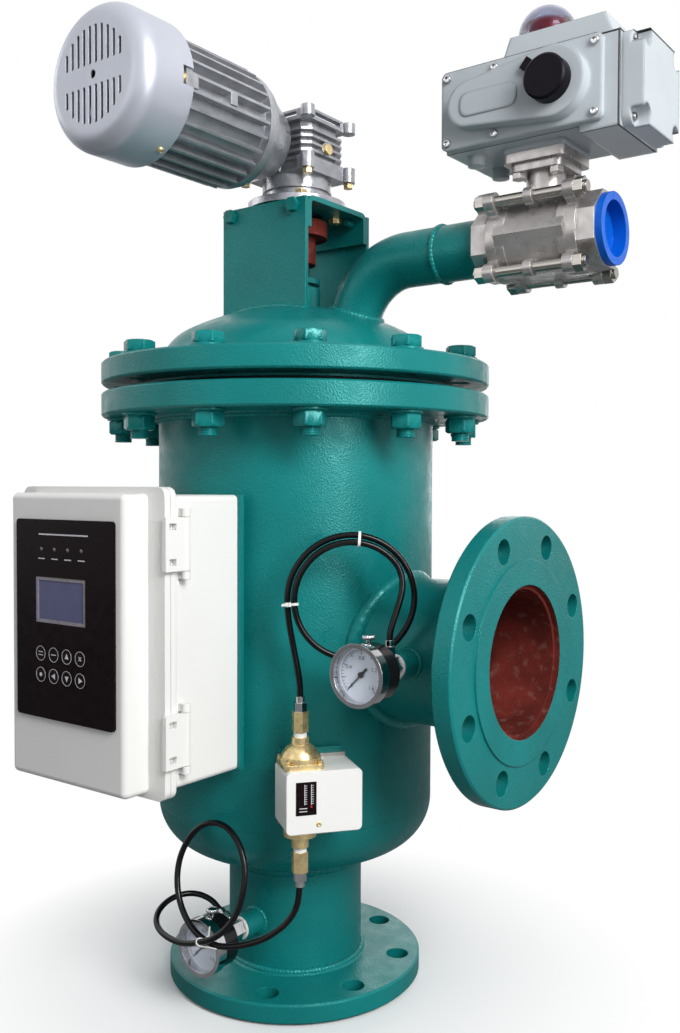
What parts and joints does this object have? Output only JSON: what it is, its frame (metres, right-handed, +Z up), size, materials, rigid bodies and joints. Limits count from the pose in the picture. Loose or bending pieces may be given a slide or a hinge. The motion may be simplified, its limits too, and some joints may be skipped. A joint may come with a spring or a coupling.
{
  "type": "self-cleaning pipeline filter",
  "caption": "Green flanged self-cleaning water filter with a geared motor, electric flushing ball valve, control box, pressure gauges and a pressure-difference switch.",
  "frame": {"origin": "centre of the inlet flange's joint face, on the floor plane", "axes": "+Z up along the vessel axis, +X out of the outlet nozzle, -Y towards the motor, gauges and control box"},
  "size_m": [0.668, 0.5374, 1.0595],
  "materials": {
    "green_paint": "gloss, orange peel",
    "gasket": "matt",
    "stainless": "satin",
    "red_oxide": "matt primer",
    "cast_alloy": "cast, painted silver",
    "brass": "machined",
    "chrome": "polished",
    "ptfe": "satin",
    "blue_cap": "smooth",
    "act_grey": "satin powder coat",
    "clear_dome": "clear",
    "indicator_red": "smooth",
    "black_plastic": "satin",
    "ivory_plastic": "moulded",
    "panel_black": "printed foil",
    "gauge_case": "black case, chrome bezel, white dial",
    "gauge_glass": "clear",
    "hose_black": "smooth tube"
  },
  "bodies": {
    "vessel": {"shell": "green_paint", "bottom_head": "green_paint", "nozzle_pipes": "green_paint", "inlet_flange": "green_paint", "outlet_flange": "green_paint", "body_flange": "green_paint", "body_gasket": "gasket", "cover_flange": "green_paint", "cover_head": "green_paint", "cover_bolts": "green_paint", "weld_brackets": "green_paint", "screen": "stainless", "screen_seats": "stainless", "seal_housing": "green_paint", "drive_base": "green_paint", "drive_bolts": "green_paint", "gearbox_housing": "cast_alloy", "gearbox_covers": "cast_alloy", "motor_frame": "cast_alloy", "motor_cowl": "cast_alloy", "drain_elbow": "green_paint", "valve_body": "stainless", "valve_ends": "stainless", "valve_seats": "ptfe", "valve_bolts": "stainless", "port_cap": "blue_cap", "actuator_mount": "stainless", "actuator_case": "act_grey", "actuator_covers": "act_grey", "actuator_screws": "chrome", "indicator_dome": "clear_dome", "override_cap": "black_plastic", "box_case": "ivory_plastic", "gauge_cases": "gauge_case", "gauge_lenses": "gauge_glass", "dp_switch": "ivory_plastic", "hose_fittings": "brass", "hose_upper": "hose_black", "hose_lower": "hose_black"},
    "cleaner": {"cleaner_shaft": "stainless", "suction_arms": "stainless", "shaft_coupling": "red_oxide"},
    "rotor": {"motor_rotor": "stainless"},
    "valve_plug": {"valve_ball": "chrome", "valve_stem": "stainless", "indicator_drum": "indicator_red"},
    "door": {"box_door": "ivory_plastic", "keypad_panel": "panel_black"},
    "upper_latch": {"latch_upper": "ivory_plastic"},
    "lower_latch": {"latch_lower": "ivory_plastic"},
    "pointer_outlet": {"needle_outlet": "black_plastic"},
    "pointer_inlet": {"needle_inlet": "black_plastic"},
    "button_1": {"key_1": "black_plastic"},
    "button_2": {"key_2": "black_plastic"},
    "button_3": {"key_3": "black_plastic"},
    "button_4": {"key_4": "black_plastic"},
    "button_5": {"key_5": "black_plastic"},
    "button_6": {"key_6": "black_plastic"},
    "button_7": {"key_7": "black_plastic"},
    "button_8": {"key_8": "black_plastic"}
  },
  "joints": [
    {"name": "cleaner_spin", "type": "hinge", "parent": "vessel", "child": "cleaner", "pos_m": [0, 0, 0.86], "axis": [0, 0, 1], "continuous": true},
    {"name": "rotor_spin", "type": "hinge", "parent": "vessel", "child": "rotor", "pos_m": [-0.01, -0.16, 0.976], "axis": [0, -1, 0], "continuous": true},
    {"name": "valve_turn", "type": "hinge", "parent": "vessel", "child": "valve_plug", "pos_m": [0.323, 0, 0.8295], "axis": [0, 0, 1], "range_deg": [0, 90]},
    {"name": "door_hinge", "type": "hinge", "parent": "vessel", "child": "door", "pos_m": [-0.1576, -0.268, 0.4275], "axis": [0, 0, -1], "range_deg": [0, 120]},
    {"name": "latch_upper_hinge", "type": "hinge", "parent": "vessel", "child": "upper_latch", "pos_m": [0.0671, -0.251, 0.524], "axis": [0, 0, 1], "range_deg": [0, 100]},
    {"name": "latch_lower_hinge", "type": "hinge", "parent": "vessel", "child": "lower_latch", "pos_m": [0.0671, -0.251, 0.334], "axis": [0, 0, 1], "range_deg": [0, 100]},
    {"name": "needle_outlet_turn", "type": "hinge", "parent": "vessel", "child": "pointer_outlet", "pos_m": [0.213, -0.163, 0.4], "axis": [0, 1, 0], "range_deg": [0, 270]},
    {"name": "needle_inlet_turn", "type": "hinge", "parent": "vessel", "child": "pointer_inlet", "pos_m": [0.005, -0.163, 0.081], "axis": [0, 1, 0], "range_deg": [0, 270]},
    {"name": "key_1_press", "type": "slide", "parent": "door", "child": "button_1", "axis": [0, 1, 0], "range_m": [0, 0.0006], "stiffness_N_per_m": 400},
    {"name": "key_2_press", "type": "slide", "parent": "door", "child": "button_2", "axis": [0, 1, 0], "range_m": [0, 0.0006], "stiffness_N_per_m": 400},
    {"name": "key_3_press", "type": "slide", "parent": "door", "child": "button_3", "axis": [0, 1, 0], "range_m": [0, 0.0006], "stiffness_N_per_m": 400},
    {"name": "key_4_press", "type": "slide", "parent": "door", "child": "button_4", "axis": [0, 1, 0], "range_m": [0, 0.0006], "stiffness_N_per_m": 400},
    {"name": "key_5_press", "type": "slide", "parent": "door", "child": "button_5", "axis": [0, 1, 0], "range_m": [0, 0.0006], "stiffness_N_per_m": 400},
    {"name": "key_6_press", "type": "slide", "parent": "door", "child": "button_6", "axis": [0, 1, 0], "range_m": [0, 0.0006], "stiffness_N_per_m": 400},
    {"name": "key_7_press", "type": "slide", "parent": "door", "child": "button_7", "axis": [0, 1, 0], "range_m": [0, 0.0006], "stiffness_N_per_m": 400},
    {"name": "key_8_press", "type": "slide", "parent": "door", "child": "button_8", "axis": [0, 1, 0], "range_m": [0, 0.0006], "stiffness_N_per_m": 400}
  ],
  "couplings": [
    {"joint": "rotor_spin", "follows": "cleaner_spin", "ratio": 60}
  ]
}
